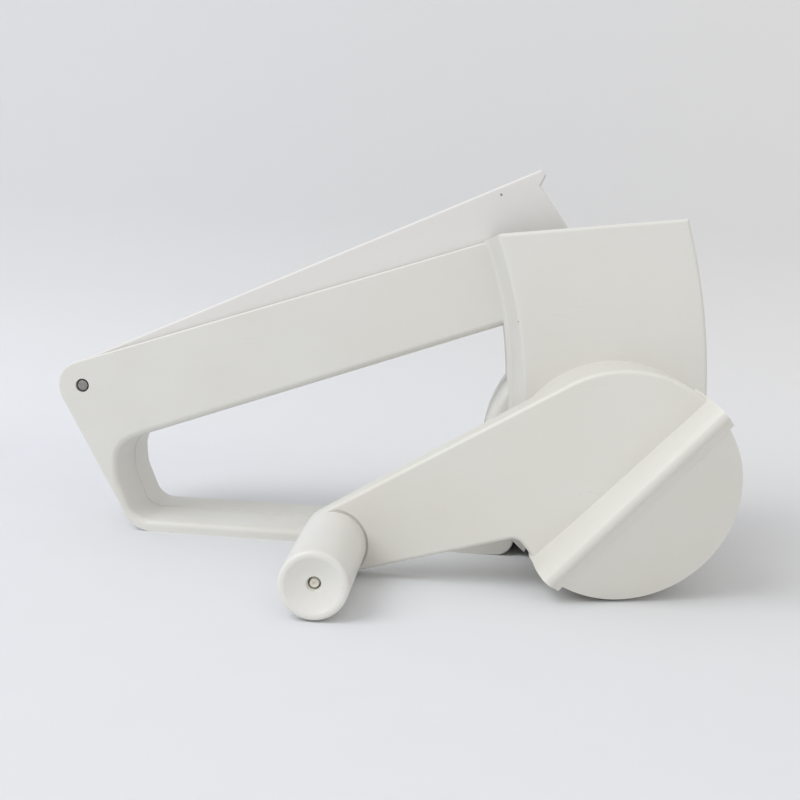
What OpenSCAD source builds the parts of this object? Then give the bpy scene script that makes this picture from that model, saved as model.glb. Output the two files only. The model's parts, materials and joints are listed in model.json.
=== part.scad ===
// Hand-held rotary cheese grater: a loop-handled frame with a hopper and a drum barrel,
// a press lever hinged at the rear, a grating drum and a crank with a turning knob.
// X runs along the handle towards the hopper, the crank is on the -Y side, Z is up.
// The origin is the middle of the flat underside of the bottom bar.

/* [Frame] */
// Width of the handle, the rear strut and the bottom bar
handle_w = 33; // [28:0.5:38]
// Outer width of the hopper box
hopper_w = 53; // [48:0.5:60]
// Wall thickness of the frame moulding
wall = 2.5; // [2:0.1:3]
// Thickness of the bottom bar
bar_t = 3.8; // [3:0.1:5]
// Length of the flat underside of the bottom bar
bar_len = 102.5; // [96:0.5:106]
// Slope of the handle's top edge, in degrees
handle_slope = 19.2; // [18:0.1:20]

/* [Hopper] */
// Radius about the hinge of the outside of the hopper's rear wall
hopper_rear_r = 124.4; // [123:0.1:126]
// Radius about the hinge of the outside of the hopper's front wall
hopper_front_r = 178.6; // [176:0.1:179]
// Height of the rim at the rear wall
rim_z = 92.9; // [88:0.1:95]
// Slope of the rim, in degrees
rim_slope = 7.5; // [5:0.1:10]

/* [Hinge] */
// Distance of the hinge pin behind the origin
hinge_back = 72.5; // [70:0.1:75]
// Height of the hinge pin
hinge_z = 42.6; // [41:0.1:44]
// Diameter of the hinge pin
hinge_pin_d = 3; // [2.5:0.1:4]
// Radius of the frame's rear corner about the hinge pin
corner_r = 7.2; // [6.8:0.1:8]

/* [Drum] */
// Distance of the drum's axis in front of the origin
drum_x = 82; // [80:0.1:84]
// Height of the drum's axis
drum_z = 30.2; // [30.2:0.1:32]
// Outer radius of the barrel that holds the drum
barrel_r = 30; // [29.5:0.1:30.2]
// Length of the barrel across the frame
barrel_len = 81; // [76:0.5:86]
// Outer radius of the steel grating screen
screen_r = 26.4; // [26:0.1:26.5]
// Thickness of the screen's sheet
screen_t = 0.6; // [0.4:0.1:0.8]
// Gap between the drum's end pieces and the barrel
drum_gap = 0.3; // [0.25:0.05:0.4]

/* [Crank] */
// Radius of the crank's disc
disc_r = 30.2; // [29.5:0.1:30.2]
// Radius of the disc's sloping half
half_r = 29.4; // [28.5:0.1:30]
// Distance from the drum's axis to the knob's axis
crank_len = 77.8; // [74:0.1:80]
// Thickness of the arm where it meets the disc
arm_t = 11; // [9:0.1:12]
// Radius of the arm's end around the knob
arm_end_r = 8.8; // [8:0.1:8.9]
// Height of the grip ridge above the back of the crank
ridge_h = 19.2; // [16:0.1:21]
// Angle of the ridge, in degrees
ridge_angle = 48.5; // [40:0.5:55]

/* [Knob] */
// Length of the knob
knob_len = 37.4; // [32:0.1:38]
// Radius of the knob at the arm
knob_base_r = 8.9; // [8.5:0.1:9.2]
// Radius of the knob at its free end
knob_end_r = 8.5; // [8:0.1:8.8]

/* [Hidden] */
$fn = 96;
eps = 0.01;
hinge = [-hinge_back, hinge_z];
axis = [drum_x, drum_z];

// Handle outline
strut_slope = 60.1;
under_slope = 20.3;
under_z0 = 48.6;
cheek_r = 36.5;
bore_r = screen_r + 0.5 + drum_gap;
channel_w = handle_w - 2 * wall;
pin_recess_d = 4.2;
pin_recess = 0.8;

// Press lever
lever_w = channel_w - 0.6;
lever_slope = 25.2;
lever_end_r = 7;
lever_tip_x = 57.2;
lever_front_slope = 52.9;
lever_wall = 2.4;
foot_gap = 0.7;
foot_w = hopper_w - 2 * wall - 2 * 0.5;
foot_under_r = bore_r + 0.3;

// Drum
drum_near = -35.4;
drum_far = 37;
hub_t = 2.6;
spigot = 4.5;
socket = 10.6;
hub_boss_r = 9;
hub_boss_len = 20;

// Crank, measured from its back face
crank_back = -barrel_len / 2 - 0.5;
knob_drop = drum_z - knob_base_r - 0.03;
knob_angle = asin(knob_drop / crank_len);
knob_at = [drum_x - crank_len * cos(knob_angle), drum_z - knob_drop];
arm_tip_t = 6.6;
post = 10;
post_len = 28;
journal_len = 4.5;
rim_t = 7.2;
ridge_past = 0.6;

// Knob and its pin
knob_gap = 0.3;
knob_base_y = crank_back - arm_tip_t - knob_gap;
knob_end_y = knob_base_y - knob_len;
knob_pin_d = 5;
knob_hole_d = 3.2;
knob_bead_d = 6;
dish_r = 6.9;
dish_depth = 1.6;

function unit(v) = v / norm(v);

// The arc that rounds corner b, between the neighbours a and c, to radius r
function corner_arc(a, b, c, r, steps = 8) =
    let(u = unit(a - b), v = unit(c - b),
        half = acos(u * v) / 2,
        centre = b + unit(u + v) * r / sin(half),
        p = b + u * r / tan(half) - centre,
        turn = (u[0] * v[1] - u[1] * v[0] > 0 ? -1 : 1) * (180 - 2 * half))
    [for (i = [0:steps]) let(t = turn * i / steps)
        centre + [p[0] * cos(t) - p[1] * sin(t), p[0] * sin(t) + p[1] * cos(t)]];

// A polygon whose corners are rounded to the radii given, 0 for a sharp one
function rounded(points, radii) =
    [for (i = [0:len(points) - 1])
        let(n = len(points), a = points[(i + n - 1) % n], c = points[(i + 1) % n])
        each radii[i] > 0 ? corner_arc(a, points[i], c, radii[i]) : [points[i]]];

function on_line(start, slope, x) = [x, start[1] + (x - start[0]) * tan(slope)];
function polar(centre, r, a) = centre + r * [cos(a), sin(a)];

// A point of the handle's top edge and of its underside
function top_edge(x) = on_line(polar(hinge, corner_r, 90 + handle_slope), handle_slope, x);
function underside(x) = [x, under_z0 + x * tan(under_slope)];
function strut_line(z, inward = 0) =
    let(p = polar(hinge, corner_r - inward, 180 + 90 - strut_slope))
    [p[0] + (p[1] - z) / tan(strut_slope), z];
function rim_line(x) = [x, rim_z + (x - 47) * tan(rim_slope)];

// Draws in the XZ plane and extrudes across Y, centred on the middle plane
module across(width) {
    rotate([90, 0, 0])
        linear_extrude(height = width, center = true)
            children();
}

// A disc in the XZ plane at the point given
module disc_at(p, r) {
    translate(p)
        circle(r = r, $fn = 128);
}

module ring_about_hinge(inner, outer) {
    difference() {
        translate(hinge) circle(r = outer, $fn = 256);
        translate(hinge) circle(r = inner, $fn = 256);
    }
}

module y_cylinder(p, r, y0, y1) {
    translate([p[0], y0, p[1]])
        rotate([-90, 0, 0])
            cylinder(r = r, h = y1 - y0);
}

// ---- Frame ----

module frame_outline() {
    bar_end = bar_len / 2 + 5;
    rear_top = polar(hinge, corner_r / sin((handle_slope + strut_slope) / 2),
                     180 + (handle_slope - strut_slope) / 2);
    polygon(rounded(
        [rear_top, top_edge(47), [60, top_edge(47)[1]], [60, 30], [bar_end, 10], [bar_end, 0],
         strut_line(0)],
        [corner_r, 0, 0, 0, 0, 5, 9.4]));
    // Cheek that wraps the rear of the drum barrel
    intersection() {
        disc_at(axis, cheek_r);
        polygon([axis, polar(axis, 60, 130), polar(axis, 60, 180), polar(axis, 60, 232)]);
    }
}

// The finger opening of the handle, whose front end is closed by the hopper's rear wall
module loop_opening() {
    left_low = [-56.2, bar_t];
    left_mid = [-61, 15];
    left_high = [-61.8, 25];
    difference() {
        polygon(rounded(
            [underside(50.8), [53, 48], [53, 24], [41, bar_t],
             left_low, left_mid, left_high, underside(-54)],
            [0, 0, 0, 10, 6, 12, 7, 9]));
        disc_at(axis, cheek_r);
    }
}

// The trough inside the handle, open at the top and at the rear
module channel_outline() {
    floor_rear = -48;
    skin = 3;
    polygon([underside(58) + [0, skin], underside(floor_rear) + [0, skin], [-60, 31.5],
             strut_line(30.5, wall), strut_line(33.2, wall), [-95, 33.2], [-95, 70], [58, 125]]);
}

module hopper_outline() {
    intersection() {
        ring_about_hinge(hopper_rear_r, hopper_front_r);
        polygon([[40, drum_z], [120, drum_z], rim_line(120), rim_line(40)]);
    }
}

module hopper_cavity() {
    intersection() {
        ring_about_hinge(hopper_rear_r + wall, hopper_front_r - wall);
        polygon([[40, drum_z], [120, drum_z], [120, 120], [40, 120]]);
    }
}

module frame() {
    color("#e4e4e0")
        difference() {
            union() {
                across(handle_w) difference() {
                    frame_outline();
                    loop_opening();
                }
                across(hopper_w) hopper_outline();
                y_cylinder(axis, barrel_r, -barrel_len / 2, barrel_len / 2);
            }
            across(channel_w) channel_outline();
            across(hopper_w - 2 * wall) hopper_cavity();
            y_cylinder(axis, bore_r, -barrel_len, barrel_len);
            y_cylinder(hinge, hinge_pin_d / 2, -handle_w, handle_w);
            for (side = [-1, 1])
                y_cylinder(hinge, pin_recess_d / 2,
                           side * handle_w / 2 - pin_recess, side * handle_w / 2 + pin_recess);
        }
}

module hinge_pin() {
    half = handle_w / 2 - 0.3;
    color("#8f8b87")
        y_cylinder(hinge, hinge_pin_d / 2, -half, half);
}

// ---- Press lever ----

lever_top_start = polar(hinge, lever_end_r, 90 + lever_slope);
lever_tip = on_line(lever_top_start, lever_slope, lever_tip_x);
lever_neck = lever_tip + [0.1, -4.7];
function lever_front(z) = lever_neck + [(lever_neck[1] - z) / tan(lever_front_slope), z - lever_neck[1]];
foot_top = 66;

module lever_outline() {
    disc_at(hinge, lever_end_r);
    polygon([lever_top_start, lever_tip, lever_tip + [1.4, -1.6], lever_neck,
             lever_front(54), [66, 50], [62, foot_top], [56, 73.5], [-60, 40],
             polar(hinge, lever_end_r, 270)]);
}

// The hollow under the lever's top, open below
module lever_hollow() {
    inset = lever_wall / cos(lever_slope);
    front_inset = lever_wall / sin(lever_front_slope);
    start = on_line(lever_top_start, lever_slope, hinge[0] + lever_end_r) - [0, inset];
    polygon([start, on_line(start, lever_slope, lever_tip_x - 4), lever_front(104) - [front_inset, 0],
             lever_front(20) - [front_inset, 0], [20, 20], [hinge[0] + lever_end_r, 30]]);
}

module foot_outline(inset, under_r, top) {
    difference() {
        intersection() {
            ring_about_hinge(hopper_rear_r + wall + foot_gap + inset,
                             hopper_front_r - wall - foot_gap - inset);
            polygon([[40, drum_z + 14], [120, drum_z + 14], [120, top], [40, top]]);
        }
        disc_at(axis, under_r);
    }
}

module press_lever() {
    color("#e2e3e1")
        difference() {
            union() {
                difference() {
                    across(lever_w) lever_outline();
                    across(lever_w - 2 * lever_wall) lever_hollow();
                }
                // Foot that presses the food on the drum, a tray open at the top
                difference() {
                    across(foot_w) foot_outline(0, foot_under_r, foot_top);
                    across(foot_w - 2 * lever_wall)
                        foot_outline(lever_wall, foot_under_r + lever_wall, foot_top + 10);
                }
                y_cylinder(hinge, lever_end_r - 1.6, -lever_w / 2, lever_w / 2);
            }
            y_cylinder(axis, foot_under_r, -foot_w, foot_w);
            y_cylinder(hinge, hinge_pin_d / 2 + 0.05, -handle_w, handle_w);
        }
}

// ---- Drum ----

module drum_screen() {
    color("#b9bcbf")
        difference() {
            y_cylinder(axis, screen_r, drum_near + hub_t, drum_far - hub_t);
            y_cylinder(axis, screen_r - screen_t, drum_near, drum_far);
        }
}

module drum_hub() {
    color("#dedcd4")
        difference() {
            union() {
                y_cylinder(axis, bore_r - drum_gap, drum_near, drum_near + hub_t);
                y_cylinder(axis, screen_r - screen_t, drum_near, drum_near + hub_t + spigot);
                y_cylinder(axis, hub_boss_r, drum_near, drum_near + hub_boss_len);
            }
            difference() {
                y_cylinder(axis, screen_r - screen_t - 2, drum_near + hub_t, drum_near + 10);
                y_cylinder(axis, hub_boss_r, drum_near, drum_near + 10);
            }
            translate([axis[0], 0, axis[1]])
                rotate([0, 180 + knob_angle, 0])
                    cube([socket, 100, socket], center = true);
        }
}

module drum_ring() {
    color("#dedcd4")
        difference() {
            union() {
                y_cylinder(axis, bore_r - drum_gap, drum_far - hub_t, drum_far);
                y_cylinder(axis, screen_r - screen_t, drum_far - hub_t - spigot, drum_far);
            }
            y_cylinder(axis, screen_r - screen_t - 1.8, 0, drum_far + 1);
        }
}

// ---- Crank ----

lower_slope = 17;
upper_slope = knob_angle + asin((disc_r - arm_end_r) / crank_len);
notch_x = 55.5;

module arm_outline(inset = 0) {
    end_r = arm_end_r - inset;
    big_r = disc_r - inset;
    low = polar(knob_at, end_r, lower_slope - 90);
    disc_at(knob_at, end_r);
    polygon([polar(knob_at, end_r, 90 + upper_slope), polar(axis, big_r, 90 + upper_slope), axis,
             on_line(low, lower_slope, notch_x + 5), low, knob_at]);
}

// Cross-section, between two distances across, of the ridge and of the face that falls from it
module ridge_section(from, to) {
    intersection() {
        translate([from, 0]) square([to - from, ridge_h + 1]);
        ridge_profile();
    }
}

module ridge_profile() {
    polygon(concat(
        [[-4, 0], [-4, arm_t - 3], [-2.4, arm_t - 0.5], [-1.3, 15.6], [0.9, 18.3]],
        [for (t = [0:15:75]) [2.2, ridge_h - 1.6] + 1.6 * [sin(t - 20), cos(t - 20)]],
        [[disc_r + 1, rim_t], [disc_r + 1, 0]]));
}

module ridge_part(r, from, to) {
    intersection() {
        y_cylinder(axis, r, crank_back - 25, crank_back);
        translate([axis[0], crank_back, axis[1]])
            rotate([90, 0, 0])
                rotate(ridge_angle)
                    rotate([90, 0, -90])
                        translate([0, 0, -60])
                            linear_extrude(height = 120)
                                ridge_section(from, to);
    }
}

module crank_arm() {
    tilt = atan((arm_t - arm_tip_t) / crank_len);
    color("#e4e4e0")
        difference() {
            union() {
                // Disc and arm, with a front face that falls slightly towards the knob
                difference() {
                    translate([0, crank_back, 0])
                        rotate([90, 0, 0])
                            linear_extrude(height = 16) {
                                disc_at(axis, disc_r);
                                arm_outline();
                            }
                    translate([axis[0], crank_back - arm_t, axis[1]])
                        rotate([0, -knob_angle, 0])
                            rotate([0, 0, -tilt])
                                translate([-150, -50, -100])
                                    cube([300, 50, 200]);
                    translate([axis[0], crank_back, axis[1]])
                        rotate([90, 0, 0])
                            rotate(ridge_angle)
                                translate([-60, -60, -1])
                                    cube([120, 60 - 2.4, 30]);
                }
                // Ridge, whose ends stand past the rim, and the sloping half of the disc
                ridge_part(disc_r + ridge_past, -5, 5);
                ridge_part(half_r, 1, 40);
                // Journal that turns in the barrel's end, and the square driving post
                difference() {
                    y_cylinder(axis, bore_r - drum_gap, crank_back - eps, crank_back + journal_len);
                    y_cylinder(axis, bore_r - drum_gap - wall, crank_back, crank_back + 10);
                }
                translate([axis[0], crank_back, axis[1]])
                    rotate([0, knob_angle, 0])
                        translate([-post / 2, -eps, -post / 2])
                            cube([post, post_len, post]);
            }
            // Hollow in the back of the arm
            translate([0, crank_back + 1, 0])
                rotate([90, 0, 0])
                    linear_extrude(height = 5)
                        difference() {
                            arm_outline(wall);
                            disc_at(axis, disc_r - 0.5);
                            disc_at(knob_at, 5.5);
                        }
            // Flat seat for the knob, the pin's hole and the recess for its head
            y_cylinder(knob_at, knob_base_r + 0.5, crank_back - 20, crank_back - arm_tip_t);
            y_cylinder(knob_at, knob_pin_d / 2, crank_back - 20, crank_back + 1);
            y_cylinder(knob_at, 4.2, crank_back - 1.5, crank_back + 1);
        }
}

module crank_knob() {
    ball = (dish_r * dish_r + dish_depth * dish_depth) / (2 * dish_depth);
    span = asin(dish_r / ball);
    edge = 0.9;
    color("#e6e6e2")
        translate([knob_at[0], knob_base_y, knob_at[1]])
            rotate([90, 0, 0])
                rotate_extrude()
                    polygon(concat(
                        [[knob_pin_d / 2 + 0.1, 0], [knob_base_r - 0.5, 0], [knob_base_r, 0.5]],
                        [for (t = [0:15:90]) [knob_end_r - edge, knob_len - edge] + edge * [cos(t), sin(t)]],
                        [for (t = [span:-span / 8:asin(knob_hole_d / 2 / ball)])
                            [ball * sin(t), knob_len - dish_depth + ball * (1 - cos(t))]],
                        [[knob_hole_d / 2, knob_len - 5], [knob_pin_d / 2 + 0.1, knob_len - 5],
                         [knob_pin_d / 2 + 0.1, 24], [knob_bead_d / 2 + 0.3, 23], [knob_bead_d / 2 + 0.3, 21],
                         [knob_pin_d / 2 + 0.1, 20]]));
}

module knob_pin() {
    color("#ddd6bf")
        translate([knob_at[0], crank_back - 0.3, knob_at[1]])
            rotate([90, 0, 0])
                rotate_extrude()
                    polygon(pin_section());
}

// Half-section of the knob pin: head, shank with its snap bead, and the nose in the knob's end
function pin_section() =
    let(base = arm_tip_t + knob_gap - 0.3, shank = knob_pin_d / 2, nose = 1.2)
    [[0, 0], [4.1, 0], [4.1, 1.2], [shank, 1.2], [shank, base + 20.5], [knob_bead_d / 2, base + 21.3],
     [knob_bead_d / 2, base + 22.7], [shank, base + 23.5], [shank, base + knob_len - 5.5],
     [nose, base + knob_len - 5.5], [nose, base + knob_len - 2.6], [0, base + knob_len - 3]];

frame();
hinge_pin();
press_lever();
drum_screen();
drum_hub();
drum_ring();
crank_arm();
crank_knob();
knob_pin();
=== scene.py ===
# %% [markdown]
# # A hand-held rotary cheese grater
# The grater is a white plastic kitchen tool: a frame with a loop handle, a hopper and a barrel, a
# lever that presses the cheese down, a steel grating drum inside the barrel, and a side crank.
# The CAD frame is loaded first. It gives every size, axis and body, so each visible piece is
# modelled straight at its place and nothing has to be fitted afterwards.

import bpy
import json
import math
from mathutils import Matrix, Vector


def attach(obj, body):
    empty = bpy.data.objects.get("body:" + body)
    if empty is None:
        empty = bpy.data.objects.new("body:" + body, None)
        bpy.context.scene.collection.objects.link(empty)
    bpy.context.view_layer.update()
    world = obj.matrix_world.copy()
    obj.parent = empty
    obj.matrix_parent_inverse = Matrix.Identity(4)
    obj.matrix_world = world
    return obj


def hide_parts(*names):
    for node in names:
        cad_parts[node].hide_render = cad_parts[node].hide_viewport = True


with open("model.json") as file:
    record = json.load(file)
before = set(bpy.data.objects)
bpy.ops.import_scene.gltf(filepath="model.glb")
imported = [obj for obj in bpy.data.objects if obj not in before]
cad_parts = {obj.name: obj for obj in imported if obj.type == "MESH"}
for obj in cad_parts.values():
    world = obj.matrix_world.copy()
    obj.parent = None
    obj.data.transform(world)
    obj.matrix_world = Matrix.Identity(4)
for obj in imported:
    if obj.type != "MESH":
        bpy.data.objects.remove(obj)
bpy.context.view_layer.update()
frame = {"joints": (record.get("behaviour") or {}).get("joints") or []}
joints = {j["name"]: j for j in frame["joints"]}
MM = 0.001
HINGE = Vector(joints["lever_hinge"]["pos_m"])
DRUM = Vector(joints["crank_turn"]["pos_m"])
KNOB = Vector(joints["knob_turn"]["pos_m"])

# %% [markdown]
# ## The camera
# The camera stands a little above the hopper, close to the tool, and is tipped by three degrees,
# so the table seems to fall to the right. It is made first, because every look depends on it.

# %% Camera
CAMERA_AT = Vector((40.9, -338.5, 91.0)) * MM
TURN, TILT, ROLL = math.radians(3.53), math.radians(8.28), math.radians(3.01)
FOCAL_MM = 50.9

forward = Vector((-math.sin(TURN) * math.cos(TILT), math.cos(TURN) * math.cos(TILT),
                  -math.sin(TILT)))
level = Vector((math.cos(TURN), math.sin(TURN), 0))
upright = level.cross(forward)
right = math.cos(ROLL) * level + math.sin(ROLL) * upright
up = math.cos(ROLL) * upright - math.sin(ROLL) * level
bpy.ops.object.camera_add()
camera = bpy.context.object
aim = Matrix((right, up, -forward)).transposed().to_4x4()
camera.matrix_world = Matrix.Translation(CAMERA_AT) @ aim
camera.data.lens = FOCAL_MM
camera.data.clip_start = 0.01
bpy.context.scene.camera = camera
print("camera", [round(v, 3) for v in camera.location])

# %% [markdown]
# ## Helpers for modelling by hand
# Each piece starts as a primitive and is shaped in edit mode. An operator works on everything that
# is selected, so one helper first leaves a single object selected, and two others choose faces or
# edges by a test on their place and direction.

# %% Selection helpers
def only(obj):
    """Leaves obj as the one selected and active object, in object mode."""
    if bpy.context.mode != "OBJECT":
        bpy.ops.object.mode_set(mode="OBJECT")
    bpy.ops.object.select_all(action="DESELECT")
    obj.select_set(True)
    bpy.context.view_layer.objects.active = obj


def edit(obj, kind="FACE", everything=False):
    """Enters edit mode on obj with nothing, or everything, selected."""
    only(obj)
    bpy.ops.object.mode_set(mode="EDIT")
    bpy.ops.mesh.select_mode(type=kind)
    bpy.ops.mesh.select_all(action="SELECT" if everything else "DESELECT")


def leave():
    bpy.ops.object.mode_set(mode="OBJECT")


def pick_faces(obj, test):
    """Selects the faces whose centre and normal pass the test, and enters edit mode."""
    edit(obj)
    leave()
    for face in obj.data.polygons:
        face.select = test(face.center, face.normal)
    bpy.ops.object.mode_set(mode="EDIT")


def pick_edges(obj, test):
    """Selects the edges whose two end points pass the test, and enters edit mode."""
    edit(obj, "EDGE")
    leave()
    points = obj.data.vertices
    for edge in obj.data.edges:
        edge.select = test(points[edge.vertices[0]].co, points[edge.vertices[1]].co)
    bpy.ops.object.mode_set(mode="EDIT")


# %% Modifier and cleaning helpers
def apply_modifier(obj, kind, **settings):
    only(obj)
    modifier = obj.modifiers.new(kind.lower(), kind)
    for key, value in settings.items():
        setattr(modifier, key, value)
    bpy.ops.object.modifier_apply(modifier=modifier.name)


def combine(obj, tool, operation):
    """Cuts, joins or intersects obj with the tool by an exact Boolean, then deletes the tool."""
    apply_modifier(obj, "BOOLEAN", operation=operation, object=tool, solver="EXACT")
    bpy.data.objects.remove(tool)


def flip(obj):
    """Turns every face of obj round."""
    edit(obj, everything=True)
    bpy.ops.mesh.flip_normals()
    leave()


def outward(obj):
    """Merges doubles and makes a closed shape's faces point out. Blender guesses the side from the
    farthest face, which can be wrong on a crescent, so the sign of the volume decides."""
    edit(obj, "VERT", everything=True)
    bpy.ops.mesh.remove_doubles(threshold=2e-6)
    bpy.ops.mesh.dissolve_degenerate(threshold=2e-6)
    bpy.ops.mesh.select_all(action="SELECT")
    bpy.ops.mesh.normals_make_consistent(inside=False)
    leave()
    if sum(face.center.dot(face.normal) * face.area for face in obj.data.polygons) < 0:
        flip(obj)


def soften(obj, radius, angle=38, segments=3):
    """Rounds every edge that is still sharper than the angle."""
    apply_modifier(obj, "BEVEL", width=radius, segments=segments, limit_method="ANGLE",
                   angle_limit=math.radians(angle), miter_outer="MITER_ARC", harden_normals=False)


def smooth(obj, angle=35):
    """Smooth shading that keeps the flat faces flat."""
    only(obj)
    bpy.ops.object.shade_smooth_by_angle(angle=math.radians(angle))
    apply_modifier(obj, "WEIGHTED_NORMAL", weight=60, keep_sharp=True)


# %% [markdown]
# ## Outlines
# Seen from the side, the tool is drawn with straight lines and arcs. The same few rules as in the
# CAD model give the points: a polar point about a centre, and a corner rounded to a radius.

# %% Outline helpers
def polar(centre, radius, degrees):
    a = math.radians(degrees)
    return Vector((centre[0] + radius * math.cos(a), centre[1] + radius * math.sin(a)))


def arc(centre, radius, start, end, steps):
    return [polar(centre, radius, start + (end - start) * i / steps) for i in range(steps + 1)]


def rounded(corners, steps=10):
    """An outline from (point, radius) pairs, with each corner that has a radius made an arc."""
    points = []
    for i, (b, radius) in enumerate(corners):
        b = Vector(b)
        if not radius:
            points.append(b)
            continue
        u = (Vector(corners[i - 1][0]) - b).normalized()
        v = (Vector(corners[(i + 1) % len(corners)][0]) - b).normalized()
        half = math.acos(max(-1, min(1, u.dot(v)))) / 2
        centre = b + (u + v).normalized() * radius / math.sin(half)
        p = b + u * radius / math.tan(half) - centre
        turn = math.copysign(math.pi - 2 * half, -(u.x * v.y - u.y * v.x))
        for k in range(steps + 1):
            t = turn * k / steps
            points.append(centre + Vector((p.x * math.cos(t) - p.y * math.sin(t),
                                           p.x * math.sin(t) + p.y * math.cos(t))))
    return points


def grown(outline, amount):
    """The outline moved outwards by the amount, or inwards if it is negative."""
    area = sum(a.x * b.y - b.x * a.y for a, b in zip(outline, outline[1:] + outline[:1]))
    side = math.copysign(1, area)
    moved = []
    for i, b in enumerate(outline):
        u = (b - outline[i - 1]).normalized()
        v = (outline[(i + 1) % len(outline)] - b).normalized()
        n = Vector((u.y + v.y, -u.x - v.x)) * side
        length = max(n.length, 0.3)
        moved.append(b + n.normalized() * amount * 2 / length)
    return moved


def stack(name, stations):
    """A solid through side outlines of equal length: a filled circle is reshaped to the first
    outline, and its face is extruded to each next one. Stations are (y, outline) in mm. The new
    points come in no fixed order, so each one finds the point it left by its distance."""
    y, outline = stations[0]
    only(camera)
    bpy.ops.mesh.primitive_circle_add(vertices=len(outline), fill_type="NGON")
    obj = bpy.context.object
    obj.name = obj.data.name = name
    for vertex, p in zip(obj.data.vertices, outline):
        vertex.co = Vector((p[0], y, p[1])) * MM
    cap = 0
    for y, next_outline in stations[1:]:
        edit(obj)
        leave()
        obj.data.polygons[cap].select = True
        bpy.ops.object.mode_set(mode="EDIT")
        bpy.ops.mesh.extrude_region_move(TRANSFORM_OT_translate={"value": (0, MM, 0)})
        leave()
        cap = next(f.index for f in obj.data.polygons if f.select)
        for k in obj.data.polygons[cap].vertices:
            co = obj.data.vertices[k].co
            here = Vector((co.x, co.z)) / MM
            nearest = min(range(len(outline)), key=lambda i: (outline[i] - here).length_squared)
            obj.data.vertices[k].co = Vector((next_outline[nearest][0], y, next_outline[nearest][1])) * MM
        outline = next_outline
    outward(obj)
    return obj


def tube(name, centre, radius, y0, y1, vertices=128):
    """A closed round bar along Y, in mm, from the cylinder primitive."""
    only(camera)
    bpy.ops.mesh.primitive_cylinder_add(vertices=vertices, radius=radius * MM, depth=(y1 - y0) * MM,
                                        location=(centre[0] * MM, (y0 + y1) / 2 * MM, centre[1] * MM),
                                        rotation=(math.pi / 2, 0, 0))
    obj = bpy.context.object
    obj.name = obj.data.name = name
    bpy.ops.object.transform_apply(location=True, rotation=True, scale=True)
    return obj


def lathe(name, centre, profile, steps=96):
    """Turns a closed profile of (radius, y) points, in mm, round an axis along Y."""
    only(camera)
    bpy.ops.mesh.primitive_circle_add(vertices=len(profile), fill_type="NOTHING")
    obj = bpy.context.object
    obj.name = obj.data.name = name
    for vertex, (r, y) in zip(obj.data.vertices, profile):
        vertex.co = Vector((centre[0] + r, y, centre[1])) * MM
    edit(obj, "VERT", everything=True)
    bpy.ops.mesh.spin(steps=steps, angle=2 * math.pi, axis=(0, 1, 0),
                      center=(centre[0] * MM, 0, centre[1] * MM))
    leave()
    outward(obj)
    return obj


print("helpers ready")

# %% [markdown]
# ## The frame: sizes
# The real frame is one injection moulding in white plastic. Its outline is a triangle with a loop
# for the fingers, and the hopper's end walls are arcs about the hinge pin, so that the press foot can
# swing between them. The numbers below are the design's own, in millimetres.

# %% Frame sizes
hinge = (HINGE.x / MM, HINGE.z / MM)
axis = (DRUM.x / MM, DRUM.z / MM)
knob_at = (KNOB.x / MM, KNOB.z / MM)
HANDLE_HALF, HOPPER_HALF, BARREL_HALF = 16.5, 26.5, 40.5
WALL, BAR, BAR_END = 2.5, 3.8, 56.25
HANDLE_SLOPE, STRUT_SLOPE, UNDER_SLOPE, RIM_SLOPE = 19.2, 60.1, 20.3, 7.5
UNDER_Z, RIM_X, RIM_Z = 48.6, 47, 92.9
REAR_R, FRONT_R, CORNER_R = 124.4, 178.6, 7.2
BARREL_R, BORE_R, CHEEK_R, PIN_R = 30.0, 27.2, 36.5, 1.5


def on_line(start, slope, x):
    return Vector((x, start[1] + (x - start[0]) * math.tan(math.radians(slope))))


def top_edge(x):
    return on_line(polar(hinge, CORNER_R, 90 + HANDLE_SLOPE), HANDLE_SLOPE, x)


def underside(x, skin=0):
    return on_line((0, UNDER_Z + skin), UNDER_SLOPE, x)


def strut(z, inward=0):
    p = polar(hinge, CORNER_R - inward, 270 - STRUT_SLOPE)
    return Vector((p.x + (p.y - z) / math.tan(math.radians(STRUT_SLOPE)), z))


def rim(x):
    return on_line((RIM_X, RIM_Z), RIM_SLOPE, x)


# %% [markdown]
# ## The frame: handle plate
# The triangle is extruded across at the handle's width. The loop opening is cut with a tool that is
# narrowest in the middle: in a two-part mould each half draws out to its own side, so the walls of the
# opening slope both ways from the parting line, and a fine line of flash stays there.

# %% Handle plate
def outside_circle(points, centre, radius):
    """The outline with the part inside the circle replaced by the circle's own arc."""
    centre = Vector(centre)
    inside = [(p - centre).length < radius for p in points]
    n = len(points)
    first = next(i for i in range(n) if inside[i] and not inside[i - 1])
    last = next(i for i in range(n) if inside[i - 1] and not inside[i])

    def crossing(a, b):
        for _ in range(40):
            m = (a + b) / 2
            a, b = (m, b) if (m - centre).length > radius else (a, m)
        return a - centre

    enter = crossing(points[first - 1], points[first])
    back = crossing(points[last], points[last - 1])
    a0 = math.degrees(math.atan2(enter.y, enter.x)) % 360
    a1 = math.degrees(math.atan2(back.y, back.x)) % 360
    kept = [points[(last + k) % n] for k in range((first - last) % n)]
    return kept + arc(centre, radius, a0, a1, 18)


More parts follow.
